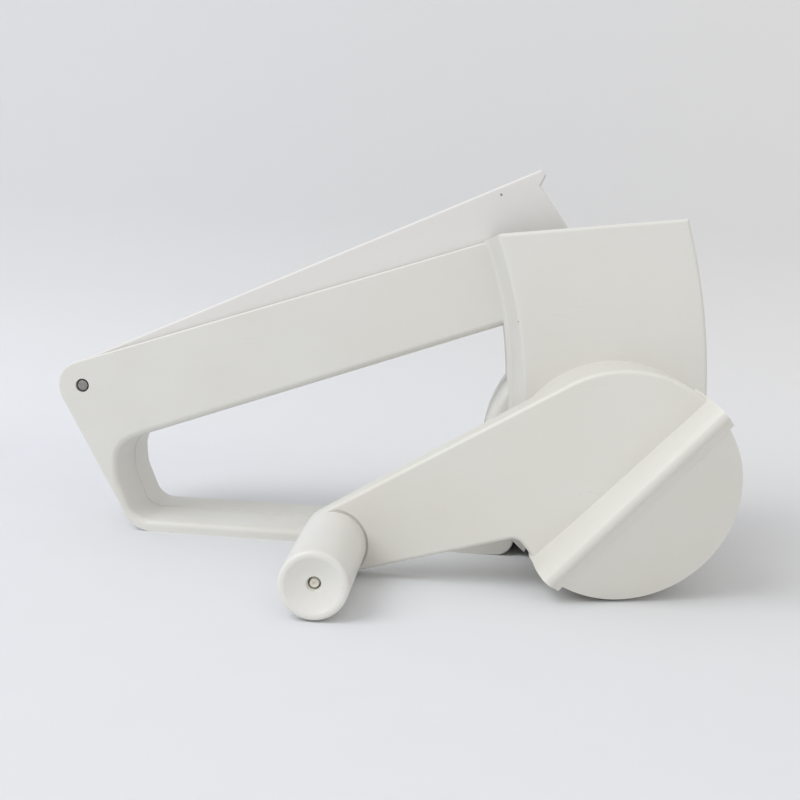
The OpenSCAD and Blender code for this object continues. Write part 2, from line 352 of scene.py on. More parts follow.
rear_half = math.radians((HANDLE_SLOPE + STRUT_SLOPE) / 2)
rear_top = polar(hinge, CORNER_R / math.sin(rear_half), 180 + (HANDLE_SLOPE - STRUT_SLOPE) / 2)
bar_corner = arc((BAR_END - 5, 5), 5, -9, -90, 9)
cheek_foot = arc(axis, CHEEK_R, 232, 225.6, 3)
plate_outline = rounded([(rear_top, CORNER_R), (top_edge(RIM_X), 0), ((60, top_edge(RIM_X).y), 0),
                         ((70, 30), 0), (polar(axis, 26, 232), 0)]
                        + [(p, 0) for p in cheek_foot + bar_corner] + [(strut(0), 9.4)])
opening = outside_circle(rounded([(underside(50.8), 0), ((53, 48), 0), ((53, 24), 0), ((41, BAR), 10),
                                  ((-56.2, BAR), 6), ((-61, 15), 12), ((-61.8, 25), 7),
                                  (underside(-54), 9)]), axis, CHEEK_R)
plate = stack("frame_shell", [(-HANDLE_HALF, plate_outline), (HANDLE_HALF, plate_outline)])
DRAFT, FLASH = 0.35, 0.22
combine(plate, stack("opening", [(-HANDLE_HALF - 1, grown(opening, DRAFT)), (-FLASH, opening),
                                 (0, grown(opening, -FLASH)), (FLASH, opening),
                                 (HANDLE_HALF + 1, grown(opening, DRAFT))]), "DIFFERENCE")
outward(plate)
print("plate", len(plate.data.vertices), "vertices")

# %% [markdown]
# ## The frame: rounded edges of the plate
# A hand pulls hard on the loop, so its edges are rounded much more than the outer ones. Rounding is
# easy now, while the plate is still a plain prism, and would be hard after the hopper joins it.

# %% Round the plate
LOOP_ROUND, OUTER_ROUND = 2.0, 0.6


def contains(outline, p):
    inside = False
    for a, b in zip(outline, outline[1:] + outline[:1]):
        if (a.y > p[1]) != (b.y > p[1]) and p[0] < (b.x - a.x) * (p[1] - a.y) / (b.y - a.y) + a.x:
            inside = not inside
    return inside


def bevel_edges(obj, radius, segments, test):
    """Rounds the edges whose end points pass the test."""
    pick_edges(obj, test)
    bpy.ops.mesh.bevel(offset=radius * MM, segments=segments, affect="EDGES", clamp_overlap=False)
    leave()
    outward(obj)


def on_side(half, a, b):
    return min(abs(abs(a.y) - half * MM), 1) < 2e-5 and abs(a.y - b.y) < 2e-5


on_loop, past_round = grown(opening, 1.5), grown(opening, 4.5)
bevel_edges(plate, LOOP_ROUND, 6, lambda a, b: on_side(HANDLE_HALF, a, b)
            and contains(on_loop, (a.x / MM, a.z / MM)) and contains(on_loop, (b.x / MM, b.z / MM)))
bevel_edges(plate, OUTER_ROUND, 3, lambda a, b: on_side(HANDLE_HALF, a, b)
            and not contains(past_round, ((a + b).x / 2 / MM, (a + b).z / 2 / MM)))
print("rounded plate", len(plate.data.vertices), "vertices")

# %% [markdown]
# ## The frame: hopper
# The hopper is a box whose end walls are arcs about the hinge. It is wider than the handle, so its
# rear wall leans back into the handle through a soft neck. Here the box grows across in steps, and
# each step's outline has its own radii, which makes the neck, its hollow fillet and the rounded rim.
# A last cut trims the rim's rear end down to the handle's top line, so that no step is left there.

# %% Hopper
def arc_end(radius, drop):
    """The angle about the hinge at which an arc meets the rim line, lowered by drop."""
    low, high = -20.0, 80.0
    for _ in range(40):
        middle = (low + high) / 2
        p = polar(hinge, radius, middle)
        low, high = (middle, high) if p.y < rim(p.x).y - drop else (low, middle)
    return low


def hopper_outline(rear, front, drop=0.0, top=None, base=axis[1]):
    def start(radius):
        return math.degrees(math.asin((base - hinge[1]) / radius))

    rear_top = top or arc_end(rear, drop)
    front_top = top or arc_end(front, drop)
    return arc(hinge, rear, rear_top, start(rear), 24) + arc(hinge, front, start(front), front_top, 24)


# A station is (distance across, growth of the rear arc, inset of the front arc and the rim).
NECK_FILLET, NECK_DEEP, NECK_RISE, RIM_ROUND = 1.9, 1.7, 0.3, 1.2
stations = [(0, 0, 0)]
for t in (0, 30, 60, 90):
    a = math.radians(t)
    stations.append((HANDLE_HALF + NECK_FILLET * (1 - math.cos(a)), NECK_DEEP * math.sin(a), 0))
flat = HOPPER_HALF - RIM_ROUND
rise = NECK_DEEP + NECK_RISE * (flat - HANDLE_HALF - NECK_FILLET)
for t in (0, 22.5, 45, 67.5, 90):
    a = math.radians(t)
    stations.append((flat + RIM_ROUND * math.sin(a), rise + RIM_ROUND * (1 - math.cos(a)),
                     RIM_ROUND * (1 - math.cos(a))))
stations = [(-y, r, e) for y, r, e in reversed(stations[1:])] + stations[1:]
hopper = stack("hopper", [(y, hopper_outline(REAR_R + r, FRONT_R - e, e)) for y, r, e in stations])
barrel = tube("barrel", axis, BARREL_R, -BARREL_HALF, BARREL_HALF)
bevel_edges(barrel, 0.9, 3, lambda a, b: on_side(BARREL_HALF, a, b))
combine(hopper, barrel, "UNION")
outward(hopper)
combine(plate, hopper, "UNION")
outward(plate)
LIP_X = 39
rear_lip = [Vector((LIP_X, top_edge(LIP_X).y + 0.05)), rim(RIM_X), Vector((RIM_X, 100)),
            Vector((LIP_X - 3, 100))]
combine(plate, stack("rear_lip", [(-30, rear_lip), (30, rear_lip)]), "DIFFERENCE")
outward(plate)
print("plate with hopper and barrel", len(plate.data.vertices), "vertices")

# %% [markdown]
# ## The frame: hollows
# The moulding is hollow everywhere, with walls of about 2.5 mm: a trough along the handle takes the
# lever, the hopper is open above, the barrel is bored through, and a ring is sunk round the pin.

# %% Hollows
def slab(name, half, outline):
    return stack(name, [(-half, outline), (half, outline)])


CAVITY_HALF, CHANNEL_HALF = HOPPER_HALF - WALL, HANDLE_HALF - WALL
cavity = [(y, hopper_outline(REAR_R + WALL + r, FRONT_R - WALL, top=40, base=28.7))
          for y, r in ((-CAVITY_HALF, 4), (-HANDLE_HALF, 0), (HANDLE_HALF, 0), (CAVITY_HALF, 4))]
combine(plate, stack("cavity", cavity), "DIFFERENCE")
combine(plate, tube("bore", axis, BORE_R, -BARREL_HALF - 5, BARREL_HALF + 5), "DIFFERENCE")
combine(plate, slab("channel", CHANNEL_HALF,
                    [underside(58, 3), underside(-48, 3), Vector((-60, 31.5)), strut(30.5, WALL),
                     strut(33.2, WALL), Vector((-95, 33.2)), Vector((-95, 70)), Vector((58, 125))]),
        "DIFFERENCE")
combine(plate, tube("pin_hole", hinge, PIN_R, -20, 20, 48), "DIFFERENCE")
RECESS_R, RECESS_DEEP = 2.0, 3.4
for y in (-HANDLE_HALF, HANDLE_HALF):
    combine(plate, tube("recess", hinge, RECESS_R, y - RECESS_DEEP, y + RECESS_DEEP, 48), "DIFFERENCE")
outward(plate)
soften(plate, 0.35)
smooth(plate)
print("frame shell", len(plate.data.vertices), "vertices, box",
      [round(d / MM, 1) for d in plate.dimensions])

# %% [markdown]
# ## The press lever
# The lever is a second moulding on the same hinge pin. It is an inverted trough that covers the
# handle's trough when it is shut, and its front end carries the foot that presses the cheese on the
# drum. The foot is a tray with curved ends, because it swings between the hopper's curved walls.

# %% Press lever
LEVER_HALF, LEVER_WALL, LEVER_SLOPE, FRONT_SLOPE, LEVER_END_R = 13.7, 2.4, 25.2, 52.9, 7.0
FOOT_HALF, FOOT_GAP, FOOT_UNDER_R, FOOT_TOP, FOOT_BOTTOM, FOOT_FLOOR = 23.5, 0.7, 27.5, 66, 44, 61
lever_start = polar(hinge, LEVER_END_R, 90 + LEVER_SLOPE)
lever_tip = on_line(lever_start, LEVER_SLOPE, 57.2)
lever_neck = lever_tip + Vector((0.1, -4.7))


def lever_front(z, inset=0):
    return Vector((lever_neck.x + (lever_neck.y - z) / math.tan(math.radians(FRONT_SLOPE)) - inset, z))


lever_outline = ([lever_tip, lever_tip + Vector((1.4, -1.6)), lever_neck, lever_front(54),
                  Vector((66, 50)), Vector((62, FOOT_TOP)), Vector((56, 73.5)), Vector((-60, 40))]
                 + arc(hinge, LEVER_END_R, 270, 90 + LEVER_SLOPE, 14))
lever = slab("lever_shell", LEVER_HALF, lever_outline)
bevel_edges(lever, 0.7, 3, lambda a, b: on_side(LEVER_HALF, a, b))
inset = LEVER_WALL / math.cos(math.radians(LEVER_SLOPE))
front_inset = LEVER_WALL / math.sin(math.radians(FRONT_SLOPE))
hollow_start = on_line(lever_start, LEVER_SLOPE, hinge[0] + LEVER_END_R) - Vector((0, inset))
hollow = [hollow_start, on_line(hollow_start, LEVER_SLOPE, lever_tip.x - 4), lever_front(104, front_inset),
          lever_front(20, front_inset), Vector((20, 20)), Vector((hinge[0] + LEVER_END_R, 30))]
combine(lever, slab("lever_hollow", LEVER_HALF - LEVER_WALL, hollow), "DIFFERENCE")
inner, outer = REAR_R + WALL + FOOT_GAP, FRONT_R - WALL - FOOT_GAP


def foot_angle(radius, z):
    return math.degrees(math.asin((z - hinge[1]) / radius))


def foot_outline(rear, front, bottom, top):
    return (arc(hinge, rear, foot_angle(rear, top), foot_angle(rear, bottom), 12)
            + arc(hinge, front, foot_angle(front, bottom), foot_angle(front, top), 12))


foot = stack("foot", [(y, foot_outline(inner + r, outer, FOOT_BOTTOM, FOOT_TOP))
                      for y, r in ((-FOOT_HALF, 4), (-HANDLE_HALF, 0.1),
                                   (HANDLE_HALF, 0.1), (FOOT_HALF, 4))])
tray = stack("tray", [(y, foot_outline(inner + LEVER_WALL + r, outer - LEVER_WALL, 40, 90))
                      for y, r in ((-FOOT_HALF + LEVER_WALL, 3.4), (-HANDLE_HALF + 1, 0),
                                   (HANDLE_HALF - 1, 0), (FOOT_HALF - LEVER_WALL, 3.4))])
combine(foot, tray, "DIFFERENCE")
foot_floor = foot_outline(inner + 0.5, outer - 0.5, FOOT_BOTTOM, FOOT_FLOOR)
combine(foot, slab("foot_floor", FOOT_HALF - 2, foot_floor), "UNION")
combine(lever, foot, "UNION")
hinge_barrel = tube("hinge_barrel", hinge, LEVER_END_R - 1.6, -LEVER_HALF + 0.2, LEVER_HALF - 0.2, 64)
combine(lever, hinge_barrel, "UNION")
combine(lever, tube("drum_room", axis, FOOT_UNDER_R, -40, 40), "DIFFERENCE")
combine(lever, tube("pin_bore", hinge, PIN_R + 0.05, -30, 30, 48), "DIFFERENCE")
outward(lever)
soften(lever, 0.3)
smooth(lever)
print("lever", len(lever.data.vertices), "vertices")

# %% [markdown]
# ## The crank
# The crank is one thick white moulding: a disc that closes the barrel's end, an arm to the knob, and
# a raised ridge across the disc for the thumb to push. Below the ridge the disc's face slopes back.
# The arm and disc are cut by sloping planes with bisect, and the ridge is its own short extrusion.

# %% Crank sizes
CRANK_BACK, DISC_R, ARM_END_R, ARM_T, TIP_T, RIM_T = -41.0, 30.2, 8.8, 11.0, 6.6, 7.2
RIDGE_H, RIDGE_ANGLE, RIDGE_FOOT, LOWER_SLOPE = 19.2, 48.5, 1.6, 17.0
HALF_R, RIDGE_PAST, DISC_MEETS = 29.4, 0.6, 219.0
crank_len = (Vector(axis) - Vector(knob_at)).length
knob_angle = math.degrees(math.atan2(axis[1] - knob_at[1], axis[0] - knob_at[0]))
upper_slope = knob_angle + math.degrees(math.asin((DISC_R - ARM_END_R) / crank_len))
arm_low = polar(knob_at, ARM_END_R, LOWER_SLOPE - 90)
notch = on_line(arm_low, LOWER_SLOPE, 55.6)
disc_at = Vector((axis[0], CRANK_BACK, axis[1]))


def bisect(obj, point, normal):
    """Cuts away what lies on the normal's side of a plane, and closes the cut."""
    edit(obj, everything=True)
    bpy.ops.mesh.bisect(plane_co=Vector(point) * MM, plane_no=normal, use_fill=True, clear_outer=True)
    leave()
    outward(obj)


# %% Crank: arm and disc
crank_outline = (arc(knob_at, ARM_END_R, LOWER_SLOPE + 270, 90 + upper_slope, 24)
                 + arc(axis, DISC_R, 90 + upper_slope, DISC_MEETS - 360, 84)
                 + rounded([(polar(axis, DISC_R, DISC_MEETS), 0), (notch, 3.2), (arm_low, 0)], 8)[1:-1])
crank = stack("crank_moulding", [(CRANK_BACK - 16, crank_outline), (CRANK_BACK, crank_outline)])
along = Vector((math.cos(math.radians(knob_angle)), 0, math.sin(math.radians(knob_angle))))
tilt = math.atan((ARM_T - TIP_T) / crank_len)
front_normal = (Vector((0, -1, 0)) * math.cos(tilt) - along * math.sin(tilt)).normalized()
bisect(crank, disc_at - Vector((0, ARM_T, 0)), front_normal)
ridge_along = Vector((math.cos(math.radians(RIDGE_ANGLE)), 0, math.sin(math.radians(RIDGE_ANGLE))))
ridge_across = Vector((ridge_along.z, 0, -ridge_along.x))
bisect(crank, disc_at - RIDGE_FOOT * ridge_across, ridge_across)


def at_ridge(v):
    return abs((v / MM - disc_at).dot(ridge_across) + RIDGE_FOOT) < 0.05


bevel_edges(crank, 1.1, 4, lambda a, b: max(a.y, b.y) < (CRANK_BACK - 3) * MM
            and not (at_ridge(a) and at_ridge(b)) and abs(a.y - b.y) < 0.6 * (a - b).length)
print("crank arm and disc", len(crank.data.vertices), "vertices")

# %% [markdown]
# ## The crank: ridge and sloping half
# The ridge's section has a rounded crest and is extruded along the ridge. What is left of it inside
# the disc's circle is kept, so that its ends follow the disc's rim. The sloping half of the disc is
# made in the same way, inside a slightly smaller circle.

# %% Crank: ridge
CREST_R, CREST_AT, CREST_END, CREST_TURN = 2.0, 2.4, 6.0, math.radians(75)
RIDGE_OUT = DISC_R + 2
crest_y = RIDGE_H - CREST_R + CREST_R * math.cos(CREST_TURN)
fall = (crest_y - RIM_T) / (RIDGE_OUT - CREST_AT - CREST_R * math.sin(CREST_TURN))


def face_height(u):
    """The height of the disc's sloping face at a distance across the ridge."""
    return RIM_T + (RIDGE_OUT - u) * fall


def ridge_part(name, outline, radius):
    """Extrudes a section (across, height) along the ridge and keeps what is inside the radius."""
    part = stack(name, [(-60, [Vector(p) for p in outline]), (60, [Vector(p) for p in outline])])
    for vertex in part.data.vertices:
        u, run, height = vertex.co
        vertex.co = disc_at * MM + ridge_across * u + ridge_along * run + Vector((0, -1, 0)) * height
    outward(part)
    combine(part, tube("limit", axis, radius, CRANK_BACK - 30, CRANK_BACK + 10), "INTERSECT")
    outward(part)
    return part


half_disc = ridge_part("half_disc", [(1, 0.5), (1, face_height(1) - 0.3), (RIDGE_OUT, RIM_T),
                                     (RIDGE_OUT, 0.5)], HALF_R)
section = [(-3.6, 0.5), (-3.6, ARM_T - 3), (-2.4, ARM_T - 0.5), (-1.3, 15.2), (0.2, RIDGE_H - 1.5)]
section += [(CREST_AT + CREST_R * math.sin(math.radians(t)),
             RIDGE_H - CREST_R + CREST_R * math.cos(math.radians(t))) for t in range(-50, 76, 15)]
section += [(CREST_END, face_height(CREST_END)), (CREST_END + 0.8, face_height(CREST_END) - 3),
            (CREST_END + 0.8, 0.5)]
ridge = ridge_part("ridge", section, DISC_R + RIDGE_PAST)
for part in (half_disc, ridge):
    combine(crank, part, "UNION")
    outward(crank)
print("crank with ridge", len(crank.data.vertices), "vertices")

# %% [markdown]
# ## The crank: back, journal and post
# Behind the disc a short ring turns in the barrel's end, and a square post drives the drum. The arm
# is hollow at the back, and the knob stands on a flat round seat at the arm's end.

# %% Crank: back side
JOURNAL, POST, POST_LEN = 4.5, 10.0, 28.0
journal = tube("journal", axis, BORE_R - 0.3, CRANK_BACK - 0.4, CRANK_BACK + JOURNAL)
combine(journal, tube("journal_hollow", axis, BORE_R - 0.3 - WALL, CRANK_BACK, CRANK_BACK + 10),
        "DIFFERENCE")
combine(crank, journal, "UNION")


def square(side):
    return [polar(axis, side / math.sqrt(2), -knob_angle + 45 - 90 * k) for k in range(4)]


combine(crank, stack("post", [(CRANK_BACK - 0.4, square(POST)), (CRANK_BACK + POST_LEN - 1, square(POST)),
                              (CRANK_BACK + POST_LEN, grown(square(POST), -0.8))]), "UNION")
arm_hollow = (arc(knob_at, ARM_END_R - WALL, LOWER_SLOPE + 270, 90 + upper_slope, 16)
              + arc(axis, DISC_R + 0.8, 90 + upper_slope + 27, 210, 16))
combine(crank, stack("arm_hollow", [(CRANK_BACK - 4, grown(arm_hollow, -0.3)),
                                    (CRANK_BACK + 1, arm_hollow)]), "DIFFERENCE")
combine(crank, tube("knob_post", knob_at, 5.5, CRANK_BACK - 5, CRANK_BACK - 0.1, 64), "UNION")
combine(crank, tube("seat", knob_at, 9.4, CRANK_BACK - 20, CRANK_BACK - TIP_T, 96), "DIFFERENCE")
combine(crank, tube("pin_way", knob_at, 2.5, CRANK_BACK - 20, CRANK_BACK + 1, 48), "DIFFERENCE")
combine(crank, tube("pin_head", knob_at, 4.2, CRANK_BACK - 1.5, CRANK_BACK + 1, 64), "DIFFERENCE")
outward(crank)
soften(crank, 0.3)
smooth(crank)
print("crank", len(crank.data.vertices), "vertices")

# %% [markdown]
# ## The knob and the pins
# Round parts are turned: half of the section is drawn as a closed loop of points, and the spin
# operator carries it round the axis. The knob's free end is dished, and a nylon pin snaps into it.

# %% Knob
KNOB_LEN, KNOB_BASE_R, KNOB_END_R, DISH_R, DISH_DEEP = 37.4, 8.9, 8.5, 6.9, 1.9
KNOB_Y = CRANK_BACK - TIP_T - 0.3
ball = (DISH_R ** 2 + DISH_DEEP ** 2) / (2 * DISH_DEEP)
span = math.degrees(math.asin(DISH_R / ball))


def turned(points):
    """Heights above the knob's base become places along Y."""
    return [(r, KNOB_Y - h) for r, h in points]


WAY_R, SNAP_R = 2.6, 3.3
knob_section = [(WAY_R, 0), (KNOB_BASE_R - 0.6, 0), (KNOB_BASE_R - 0.2, 0.15), (KNOB_BASE_R, 0.6)]
knob_section += [(KNOB_BASE_R + (KNOB_END_R - KNOB_BASE_R) * k / 6, KNOB_LEN * k / 6)
                 for k in range(1, 6)]
knob_section += [(KNOB_END_R - 1 + math.cos(math.radians(t)), KNOB_LEN - 1 + math.sin(math.radians(t)))
                 for t in range(0, 91, 15)]
knob_section += [(ball * math.sin(math.radians(span * t)),
                  KNOB_LEN - DISH_DEEP + ball * (1 - math.cos(math.radians(span * t))))
                 for t in (1, 0.97, 0.9, 0.8, 0.65, 0.5, 0.38, 0.27)]
knob_section += [(1.6, KNOB_LEN - 2.4), (1.6, KNOB_LEN - 5), (WAY_R, KNOB_LEN - 5), (WAY_R, 24),
                 (SNAP_R, 23), (SNAP_R, 21), (WAY_R, 20)]
knob = lathe("knob_grip", knob_at, turned(knob_section), 96)
smooth(knob, 40)
print("knob", len(knob.data.vertices), "vertices")

# %% Pins
nose = KNOB_LEN - 2.6
knob_pin = lathe("knob_rivet", knob_at, turned(
    [(0.02, -TIP_T), (3.7, -TIP_T), (4.1, -TIP_T + 0.3), (4.1, -TIP_T + 1.2), (2.5, -TIP_T + 1.2),
     (2.5, 20.5), (3, 21.3), (3, 22.7), (2.5, 23.5), (2.5, KNOB_LEN - 5.5), (1.2, KNOB_LEN - 5.5),
     (1.2, nose - 0.3), (1.0, nose), (0.55, nose), (0.4, nose - 0.35), (0.02, nose - 0.5)]), 48)
smooth(knob_pin, 40)
pin_half = HANDLE_HALF - 0.3
hinge_pin = lathe("hinge_axle", hinge,
                  [(0.02, -pin_half), (1.2, -pin_half), (1.42, -pin_half + 0.1), (PIN_R, -pin_half + 0.35),
                   (PIN_R, pin_half - 0.35), (1.42, pin_half - 0.1), (1.2, pin_half), (0.02, pin_half)], 48)
smooth(hinge_pin, 40)
print("pins ready")

# %% [markdown]
# ## The grating drum
# The drum is a steel sheet, punched and rolled. Each hole's rim stands up and is the cutting edge.
# A ring of edges is extruded along the axis into a fine grid, some of its faces are inset and raised,
# their middles are removed, and Solidify gives the sheet its thickness.

# %% Drum screen
SCREEN_R, SCREEN_T, TOOTH, HOLE_INSET = 26.4, 0.35, 0.45, 0.28
DRUM_NEAR, DRUM_FAR, HUB_T, SPIGOT = -35.4, 37.0, 2.6, 4.5
ROUND, ROWS = 84, 30
only(camera)
bpy.ops.mesh.primitive_circle_add(vertices=ROUND, radius=(SCREEN_R - TOOTH) * MM, fill_type="NOTHING",
                                  location=(DRUM.x, (DRUM_NEAR + HUB_T) * MM, DRUM.z),
                                  rotation=(math.pi / 2, 0, 0))
screen = bpy.context.object
screen.name = screen.data.name = "grating_screen"
bpy.ops.object.transform_apply(location=True, rotation=True, scale=True)
step = (DRUM_FAR - DRUM_NEAR - 2 * HUB_T) / ROWS
edit(screen, "EDGE", everything=True)
for row in range(ROWS):
    bpy.ops.mesh.extrude_region_move(TRANSFORM_OT_translate={"value": (0, step * MM, 0)})
leave()


def tooth_here(centre, normal):
    row = int((centre.y / MM - DRUM_NEAR - HUB_T) / step)
    turn = math.degrees(math.atan2(centre.z - DRUM.z, centre.x - DRUM.x)) % 360
    column = int(turn / 360 * ROUND)
    return 3 <= row < ROWS - 3 and (column + 2 * (row % 2)) % 4 == 0


pick_faces(screen, tooth_here)
bpy.ops.mesh.inset(use_individual=True, thickness=HOLE_INSET * MM)
leave()
raised = [face.index for face in screen.data.polygons if face.select]
edit(screen)
leave()
for index in raised:
    screen.data.polygons[index].select = True
bpy.ops.object.mode_set(mode="EDIT")
bpy.ops.mesh.extrude_faces_move(TRANSFORM_OT_shrink_fatten={"value": -TOOTH * MM})
bpy.ops.mesh.delete(type="FACE")
leave()
if sum((f.center - Vector((DRUM.x, f.center.y, DRUM.z))).dot(f.normal) for f in screen.data.polygons) < 0:
    flip(screen)
apply_modifier(screen, "SOLIDIFY", thickness=SCREEN_T * MM, offset=-1)
smooth(screen, 30)
print("screen", len(screen.data.vertices), "vertices, box",
      [round(d / MM, 1) for d in screen.dimensions])

# %% Drum ends
INSIDE_R, RIM_R, SOCKET = SCREEN_R - 0.6, BORE_R - 0.3, 10.6
HUB_BOSS_R, HUB_BOSS_LEN = 9, 20
near_face, near_end = DRUM_NEAR + HUB_T, DRUM_NEAR + HUB_T + SPIGOT
hub = lathe("drum_driver", axis, [
    (0.05, DRUM_NEAR), (RIM_R - 0.4, DRUM_NEAR), (RIM_R, DRUM_NEAR + 0.4), (RIM_R, near_face),
    (INSIDE_R, near_face), (INSIDE_R, near_end), (INSIDE_R - 2, near_end), (INSIDE_R - 2, near_face),
    (HUB_BOSS_R, near_face), (HUB_BOSS_R, DRUM_NEAR + HUB_BOSS_LEN - 0.4),
    (HUB_BOSS_R - 0.4, DRUM_NEAR + HUB_BOSS_LEN), (0.05, DRUM_NEAR + HUB_BOSS_LEN)], 96)
combine(hub, slab("socket", 50, square(SOCKET)), "DIFFERENCE")
outward(hub)
soften(hub, 0.25)
smooth(hub)
far_face, far_end = DRUM_FAR - HUB_T, DRUM_FAR - HUB_T - SPIGOT
end_ring = lathe("drum_end_ring", axis, [
    (RIM_R, far_face), (RIM_R, DRUM_FAR - 0.5), (RIM_R - 0.5, DRUM_FAR), (INSIDE_R - 1.3, DRUM_FAR),
    (INSIDE_R - 1.8, DRUM_FAR - 0.5), (INSIDE_R - 1.8, far_end), (INSIDE_R, far_end),
    (INSIDE_R, far_face)], 96)
smooth(end_ring)
print("drum ends ready")

# %% [markdown]
# ## Materials: the shared effects
# Old glossy plastic isn't one flat white. Its skin has a faint orange peel from the mould, it goes
# ivory where hands and light reach it, its edges rub matt, and a few dark specks sit in it. Each of
# these is a node group with named inputs, so that every plastic uses the same effect in its own amount.

# %% Node helpers
def new_group(name, inputs, outputs):
    """A shader node group with float inputs and their defaults, and named outputs."""
    group = bpy.data.node_groups.new(name, "ShaderNodeTree")
    for label, value in inputs:
        socket = group.interface.new_socket(label, in_out="INPUT", socket_type="NodeSocketFloat")
        socket.default_value = value
    for label in outputs:
        group.interface.new_socket(label, in_out="OUTPUT", socket_type="NodeSocketFloat")
    return group, group.nodes.new("NodeGroupInput"), group.nodes.new("NodeGroupOutput")


def node(tree, kind, links=(), **settings):
    """Adds a node, sets its settings, and links (socket name or number, source) pairs into it."""
    made = tree.nodes.new(kind)
    for key, value in settings.items():
        setattr(made, key, value)
    for socket, source in links:
        if hasattr(source, "is_output"):
            tree.links.new(source, made.inputs[socket])
        else:
            made.inputs[socket].default_value = source
    return made


def maths(tree, operation, a, b=0.0, clamp=False):
    return node(tree, "ShaderNodeMath", [(0, a), (1, b)], operation=operation, use_clamp=clamp).outputs[0]


def stretch_range(tree, value, low, high, out_low=0.0, out_high=1.0):
    return node(tree, "ShaderNodeMapRange", [("Value", value), ("From Min", low), ("From Max", high),
                                             ("To Min", out_low), ("To Max", out_high)]).outputs[0]


def object_place(tree):
    return node(tree, "ShaderNodeTexCoord").outputs["Object"]


# %% Shared groups
skin, gin, gout = new_group("moulded skin", [("Peel size", 700), ("Patch size", 28)],
                            ["Height", "Patches"])
place = object_place(skin)
peel = node(skin, "ShaderNodeTexNoise", [("Vector", place), ("Scale", gin.outputs["Peel size"]),
                                         ("Detail", 3.0), ("Roughness", 0.55)])
patch = node(skin, "ShaderNodeTexNoise", [("Vector", place), ("Scale", gin.outputs["Patch size"]),
                                          ("Detail", 4.0), ("Roughness", 0.6)])
skin.links.new(peel.outputs["Fac"], gout.inputs["Height"])
skin.links.new(stretch_range(skin, patch.outputs["Fac"], 0.35, 0.65), gout.inputs["Patches"])

specks, gin, gout = new_group("dark specks", [("Cell size", 150), ("Radius", 0.05), ("Share", 0.12)],
                              ["Mask"])
place = object_place(specks)
wobble = node(specks, "ShaderNodeTexNoise", [("Vector", place), ("Scale", 1500.0), ("Detail", 2.0)])
moved = node(specks, "ShaderNodeVectorMath", [(0, wobble.outputs["Color"]), (1, (0.0006, 0.0006, 0.0006))],
             operation="MULTIPLY")
moved = node(specks, "ShaderNodeVectorMath", [(0, place), (1, moved.outputs[0])], operation="ADD")
cells = node(specks, "ShaderNodeTexVoronoi", [("Vector", moved.outputs[0]),
                                              ("Scale", gin.outputs["Cell size"])])
near = maths(specks, "LESS_THAN", cells.outputs["Distance"], gin.outputs["Radius"])
chosen = node(specks, "ShaderNodeSeparateColor", [("Color", cells.outputs["Color"])])
few = maths(specks, "LESS_THAN", chosen.outputs[0], gin.outputs["Share"])
specks.links.new(maths(specks, "MULTIPLY", near, few), gout.inputs["Mask"])

wear, gin, gout = new_group("edge wear", [("Reach", 0.0012), ("Break-up size", 160)], ["Mask"])
rounded_normal = node(wear, "ShaderNodeBevel", [("Radius", gin.outputs["Reach"])], samples=4)
true_normal = node(wear, "ShaderNodeNewGeometry")
agree = node(wear, "ShaderNodeVectorMath", [(0, rounded_normal.outputs[0]),
                                            (1, true_normal.outputs["Normal"])], operation="DOT_PRODUCT")
edge = stretch_range(wear, agree.outputs["Value"], 0.995, 0.90)
place = object_place(wear)
breaks = node(wear, "ShaderNodeTexNoise", [("Vector", place), ("Scale", gin.outputs["Break-up size"]),
                                           ("Detail", 3.0)])
broken = stretch_range(wear, breaks.outputs["Fac"], 0.3, 0.7, 0.35, 1.0)
wear.links.new(maths(wear, "MULTIPLY", edge, broken, clamp=True), gout.inputs["Mask"])

scuffs, gin, gout = new_group("fine scuffs", [("Density", 0.5)], ["Mask"])
place = object_place(scuffs)
turned_place = node(scuffs, "ShaderNodeMapping", [("Vector", place), ("Rotation", (0.3, 0.6, 0.2)),
                                                  ("Scale", (60.0, 900.0, 2600.0))])
hair = node(scuffs, "ShaderNodeTexNoise", [("Vector", turned_place.outputs[0]), ("Scale", 1.0),
                                           ("Detail", 2.0)])
line = stretch_range(scuffs, hair.outputs["Fac"], 0.66, 0.72)
areas = node(scuffs, "ShaderNodeTexNoise", [("Vector", place), ("Scale", 45.0), ("Detail", 2.0)])
rubbed = stretch_range(scuffs, areas.outputs["Fac"], 0.5, 0.62)
scratched = maths(scuffs, "MULTIPLY", line, rubbed)
strength = maths(scuffs, "MULTIPLY", scratched, gin.outputs["Density"], clamp=True)
scuffs.links.new(strength, gout.inputs["Mask"])
print("groups:", [group.name for group in bpy.data.node_groups])

# %% [markdown]
# ## Materials: plastics and metals
# All the white parts are the same kind of plastic, but they came from different moulds and aged
# differently: the crank is a little creamier than the frame, and the knob is bleached and shinier.

# %% Plastics
def use_group(tree, group, **inputs):
    made = tree.nodes.new("ShaderNodeGroup")
    made.node_tree = group
    for label, value in inputs.items():
        made.inputs[label.replace("_", " ")].default_value = value
    return made


def tint(tree, factor, first, second):
    """Mixes two colours by a factor that changes over the surface."""
    mix = tree.nodes.new("ShaderNodeMix")
    mix.data_type = "RGBA"
    for socket, value in ((mix.inputs[0], factor), (mix.inputs[6], first), (mix.inputs[7], second)):
        if hasattr(value, "is_output"):
            tree.links.new(value, socket)
        else:
            socket.default_value = value
    return mix.outputs[2]


SPECK_SHARE = 0.05
SCUFF_GREY, SPECK_BROWN = (0.42, 0.42, 0.40, 1), (0.13, 0.11, 0.09, 1)


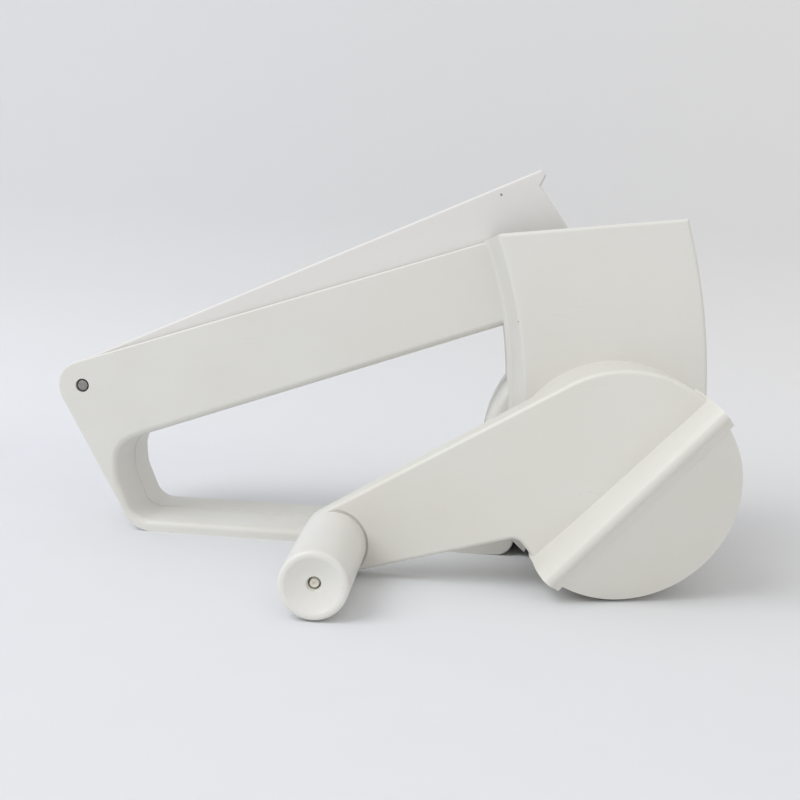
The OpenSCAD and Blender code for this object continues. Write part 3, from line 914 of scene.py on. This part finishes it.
def plastic(name, clean, aged, worn, gloss):
    """White plastic that turns from clean to aged in patches; worn is its colour on the edges."""
    material = bpy.data.materials.new(name)
    material.use_nodes = True
    tree = material.node_tree
    shader = tree.nodes["Principled BSDF"]
    surface = use_group(tree, skin)
    edges = use_group(tree, wear)
    dark = use_group(tree, specks, Share=SPECK_SHARE)
    rub = use_group(tree, scuffs)
    colour = tint(tree, maths(tree, "MULTIPLY", surface.outputs["Patches"], 0.6), clean, aged)
    colour = tint(tree, maths(tree, "MULTIPLY", edges.outputs["Mask"], 0.5), colour, worn)
    colour = tint(tree, maths(tree, "MULTIPLY", rub.outputs["Mask"], 0.18), colour, SCUFF_GREY)
    colour = tint(tree, maths(tree, "MULTIPLY", dark.outputs["Mask"], 0.75), colour, SPECK_BROWN)
    tree.links.new(colour, shader.inputs["Base Color"])
    rough = stretch_range(tree, surface.outputs["Patches"], 0, 1, gloss - 0.03, gloss + 0.05)
    rough = maths(tree, "ADD", rough, maths(tree, "MULTIPLY", edges.outputs["Mask"], 0.1))
    rough = maths(tree, "ADD", rough, maths(tree, "MULTIPLY", rub.outputs["Mask"], 0.25), clamp=True)
    tree.links.new(rough, shader.inputs["Roughness"])
    bump = node(tree, "ShaderNodeBump", [("Strength", 0.06), ("Distance", 0.0002),
                                         ("Height", surface.outputs["Height"])])
    tree.links.new(bump.outputs["Normal"], shader.inputs["Normal"])
    shader.inputs["IOR"].default_value = 1.5
    return material


plastics = {
    "white_plastic": plastic("aged white plastic", (0.755, 0.745, 0.70, 1), (0.72, 0.705, 0.65, 1),
                             (0.79, 0.77, 0.70, 1), 0.34),
    "lever_plastic": plastic("lever plastic", (0.765, 0.75, 0.725, 1), (0.735, 0.72, 0.69, 1),
                             (0.82, 0.81, 0.78, 1), 0.32),
    "crank_plastic": plastic("crank plastic", (0.75, 0.74, 0.685, 1), (0.72, 0.70, 0.63, 1),
                             (0.81, 0.80, 0.755, 1), 0.30),
    "knob_plastic": plastic("knob plastic", (0.795, 0.785, 0.745, 1), (0.765, 0.75, 0.695, 1),
                            (0.82, 0.81, 0.76, 1), 0.28),
    "drum_plastic": plastic("drum plastic", (0.76, 0.755, 0.73, 1), (0.72, 0.71, 0.66, 1),
                            (0.80, 0.79, 0.74, 1), 0.36),
    "ivory_plastic": plastic("ivory nylon", (0.78, 0.75, 0.66, 1), (0.72, 0.68, 0.58, 1),
                             (0.82, 0.79, 0.70, 1), 0.42),
}
print("plastics:", len(plastics))


# %% Metals
def metal(name, bright, dull, gloss, streaks):
    """Steel with fine streaks; streaks are the pattern's sizes along X, Y and Z."""
    material = bpy.data.materials.new(name)
    material.use_nodes = True
    tree = material.node_tree
    shader = tree.nodes["Principled BSDF"]
    edges = use_group(tree, wear, Reach=0.0004)
    surface = use_group(tree, skin, Patch_size=90)
    drawn = node(tree, "ShaderNodeMapping", [("Vector", object_place(tree)), ("Scale", streaks)])
    grain = node(tree, "ShaderNodeTexNoise", [("Vector", drawn.outputs[0]), ("Scale", 1.0), ("Detail", 3.0)])
    colour = tint(tree, grain.outputs["Fac"], bright, dull)
    colour = tint(tree, maths(tree, "MULTIPLY", surface.outputs["Patches"], 0.3), colour, dull)
    colour = tint(tree, maths(tree, "MULTIPLY", edges.outputs["Mask"], 0.6), colour, bright)
    tree.links.new(colour, shader.inputs["Base Color"])
    tree.links.new(stretch_range(tree, grain.outputs["Fac"], 0.3, 0.7, gloss - 0.06, gloss + 0.08),
                   shader.inputs["Roughness"])
    bump = node(tree, "ShaderNodeBump", [("Strength", 0.12), ("Distance", 0.0001),
                                         ("Height", grain.outputs["Fac"])])
    tree.links.new(bump.outputs["Normal"], shader.inputs["Normal"])
    shader.inputs["Metallic"].default_value = 1.0
    return material


metals = {
    "steel_pin": metal("cut steel pin", (0.46, 0.44, 0.43, 1), (0.22, 0.21, 0.20, 1), 0.42,
                       (3000, 400, 3000)),
    "stainless_sheet": metal("stainless sheet", (0.66, 0.67, 0.68, 1), (0.50, 0.51, 0.52, 1), 0.28,
                             (2500, 90, 2500)),
}
print("metals:", len(metals))

# %% [markdown]
# ## Bodies, slots and finishes
# Every piece rides on the CAD body it belongs to and stands for one CAD node, so the visible model
# moves exactly as the mechanism does.

# %% Bodies and finishes
pieces = [
    (plate, "frame", "frame", "white_plastic"),
    (hinge_pin, "frame", "hinge_pin", "steel_pin"),
    (lever, "lever", "press_lever", "lever_plastic"),
    (crank, "crank", "crank_arm", "crank_plastic"),
    (knob_pin, "crank", "knob_pin", "ivory_plastic"),
    (knob, "knob", "crank_knob", "knob_plastic"),
    (screen, "drum", "drum_screen", "stainless_sheet"),
    (hub, "drum", "drum_hub", "drum_plastic"),
    (end_ring, "drum", "drum_ring", "drum_plastic"),
]
finishes = {**plastics, **metals}
for piece, body, cad_node, slot in pieces:
    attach(piece, body)
    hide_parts(cad_node)
    piece.data.materials.clear()
    piece.data.materials.append(finishes[slot])
print("pieces:", len(pieces))

# %% [markdown]
# ## Floor and backdrop
# A sheet of pale paper lies on the table and curves up behind the tool. One plane is extruded along
# that curve. The paper is see-through from its back, so the tool can be looked at from every side.

# %% Paper
FRONT_EDGE, BEND_START, BEND_R, WALL_TOP, HALF_WIDTH = -1.6, 0.10, 0.10, 1.6, 1.8
only(camera)
bpy.ops.mesh.primitive_plane_add(size=1)
paper = bpy.context.object
paper.name = paper.data.name = "paper_sweep"
for vertex in paper.data.vertices:
    vertex.co = Vector((math.copysign(HALF_WIDTH, vertex.co.x),
                        BEND_START if vertex.co.y > 0 else FRONT_EDGE, 0))
path = [Vector((0, BEND_START + BEND_R * math.sin(math.radians(t)),
                BEND_R * (1 - math.cos(math.radians(t))))) for t in range(0, 91, 6)]
path += [Vector((0, BEND_START + BEND_R, WALL_TOP))]
pick_edges(paper, lambda a, b: min(a.y, b.y) > BEND_START - 0.001)
for before, after in zip(path, path[1:]):
    bpy.ops.mesh.extrude_region_move(TRANSFORM_OT_translate={"value": after - before})
leave()
only(paper)
bpy.ops.object.shade_smooth_by_angle(angle=math.radians(30))
if sum(face.normal.z - face.normal.y for face in paper.data.polygons) < 0:
    flip(paper)

paper_white = bpy.data.materials.new("pale paper")
paper_white.use_nodes = True
tree = paper_white.node_tree
shader = tree.nodes["Principled BSDF"]
where = node(tree, "ShaderNodeSeparateXYZ", [("Vector", object_place(tree))])
# Painted light and shade: the paper is one colour, but its floor is painted cool and bright on the left,
# where the window falls, and warmer and darker on the right, and its wall is painted in shade on the left
# and lit warm and brighter on the right.
side = stretch_range(tree, where.outputs["X"], -0.2, 0.45)
height = stretch_range(tree, where.outputs["Z"], 0.0, 0.06)
floor_painted_light = tint(tree, side, (0.80, 0.815, 0.85, 1), (0.76, 0.755, 0.74, 1))
wall_painted_light = tint(tree, side, (0.73, 0.735, 0.745, 1), (0.80, 0.79, 0.775, 1))
fibre = node(tree, "ShaderNodeTexNoise", [("Vector", object_place(tree)), ("Scale", 60.0),
                                          ("Detail", 6.0)])
clouds = stretch_range(tree, fibre.outputs["Fac"], 0.3, 0.7, 0.0, 0.12)
colour = tint(tree, clouds, tint(tree, height, floor_painted_light, wall_painted_light), (0.74, 0.74, 0.74, 1))
tree.links.new(colour, shader.inputs["Base Color"])
shader.inputs["Roughness"].default_value = 0.75
shader.inputs["Specular IOR Level"].default_value = 0.2
seen_from_behind = node(tree, "ShaderNodeNewGeometry").outputs["Backfacing"]
clear = node(tree, "ShaderNodeBsdfTransparent")
mix = node(tree, "ShaderNodeMixShader", [(0, seen_from_behind), (1, shader.outputs[0]),
                                         (2, clear.outputs[0])])
tree.links.new(mix.outputs[0], tree.nodes["Material Output"].inputs["Surface"])
paper.data.materials.append(paper_white)
print("paper faces:", len(paper.data.polygons))

# %% [markdown]
# ## Light
# The light is that of a bright room: almost no shadow, a wide cool window high on the left and a
# little warmth from the right. The plain Standard view keeps the whites as they are.

# %% Light
LIT_POINT = Vector((0, 0, 0.03))


def soft_light(name, place, size, power, colour):
    """A square lamp that faces the tool."""
    bpy.ops.object.light_add(type="AREA", location=place)
    lamp = bpy.context.object
    lamp.name = name
    lamp.data.shape = "SQUARE"
    lamp.data.size = size
    lamp.data.energy = power
    lamp.data.color = colour
    lamp.rotation_euler = (LIT_POINT - Vector(place)).to_track_quat("-Z", "Y").to_euler()


soft_light("window", (-1.2, -1.0, 1.6), 1.4, 23.0, (0.95, 0.97, 1.0))
soft_light("room", (0.9, -0.9, 0.8), 1.2, 1.7, (1.0, 0.95, 0.85))
world = bpy.data.worlds.new("bright room")
world.use_nodes = True
background = world.node_tree.nodes["Background"]
background.inputs["Color"].default_value = (0.985, 0.985, 1.0, 1)
background.inputs["Strength"].default_value = 0.62
bpy.context.scene.world = world
bpy.context.scene.view_settings.view_transform = "Standard"
